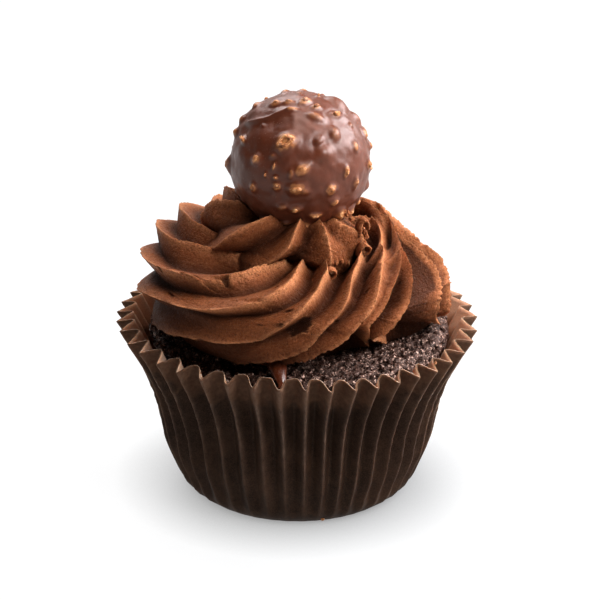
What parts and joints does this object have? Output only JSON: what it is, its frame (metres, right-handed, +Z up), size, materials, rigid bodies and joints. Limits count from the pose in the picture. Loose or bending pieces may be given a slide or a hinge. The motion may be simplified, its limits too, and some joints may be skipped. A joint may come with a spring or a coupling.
{
  "type": "chocolate cupcake",
  "caption": "Chocolate cupcake in a pleated brown paper case, with a piped two-tier chocolate frosting swirl and a nutty chocolate ball on top.",
  "frame": {"origin": "centre of the footprint on the plane of the flat base", "axes": "+Z up through the chocolate ball, -Y towards the viewer of the side that shows the frosting's crests sweeping down to the left, +X to that viewer's right"},
  "size_m": [0.0724, 0.0716, 0.0824],
  "materials": {
    "case_paper": "matt dark brown greaseproof paper",
    "sponge": null,
    "buttercream": null,
    "chocolate_coating": null
  },
  "bodies": {
    "root": {"paper_case": "case_paper", "cake": "sponge", "frosting": "buttercream", "chocolate_ball": "chocolate_coating"}
  },
  "joints": []
}
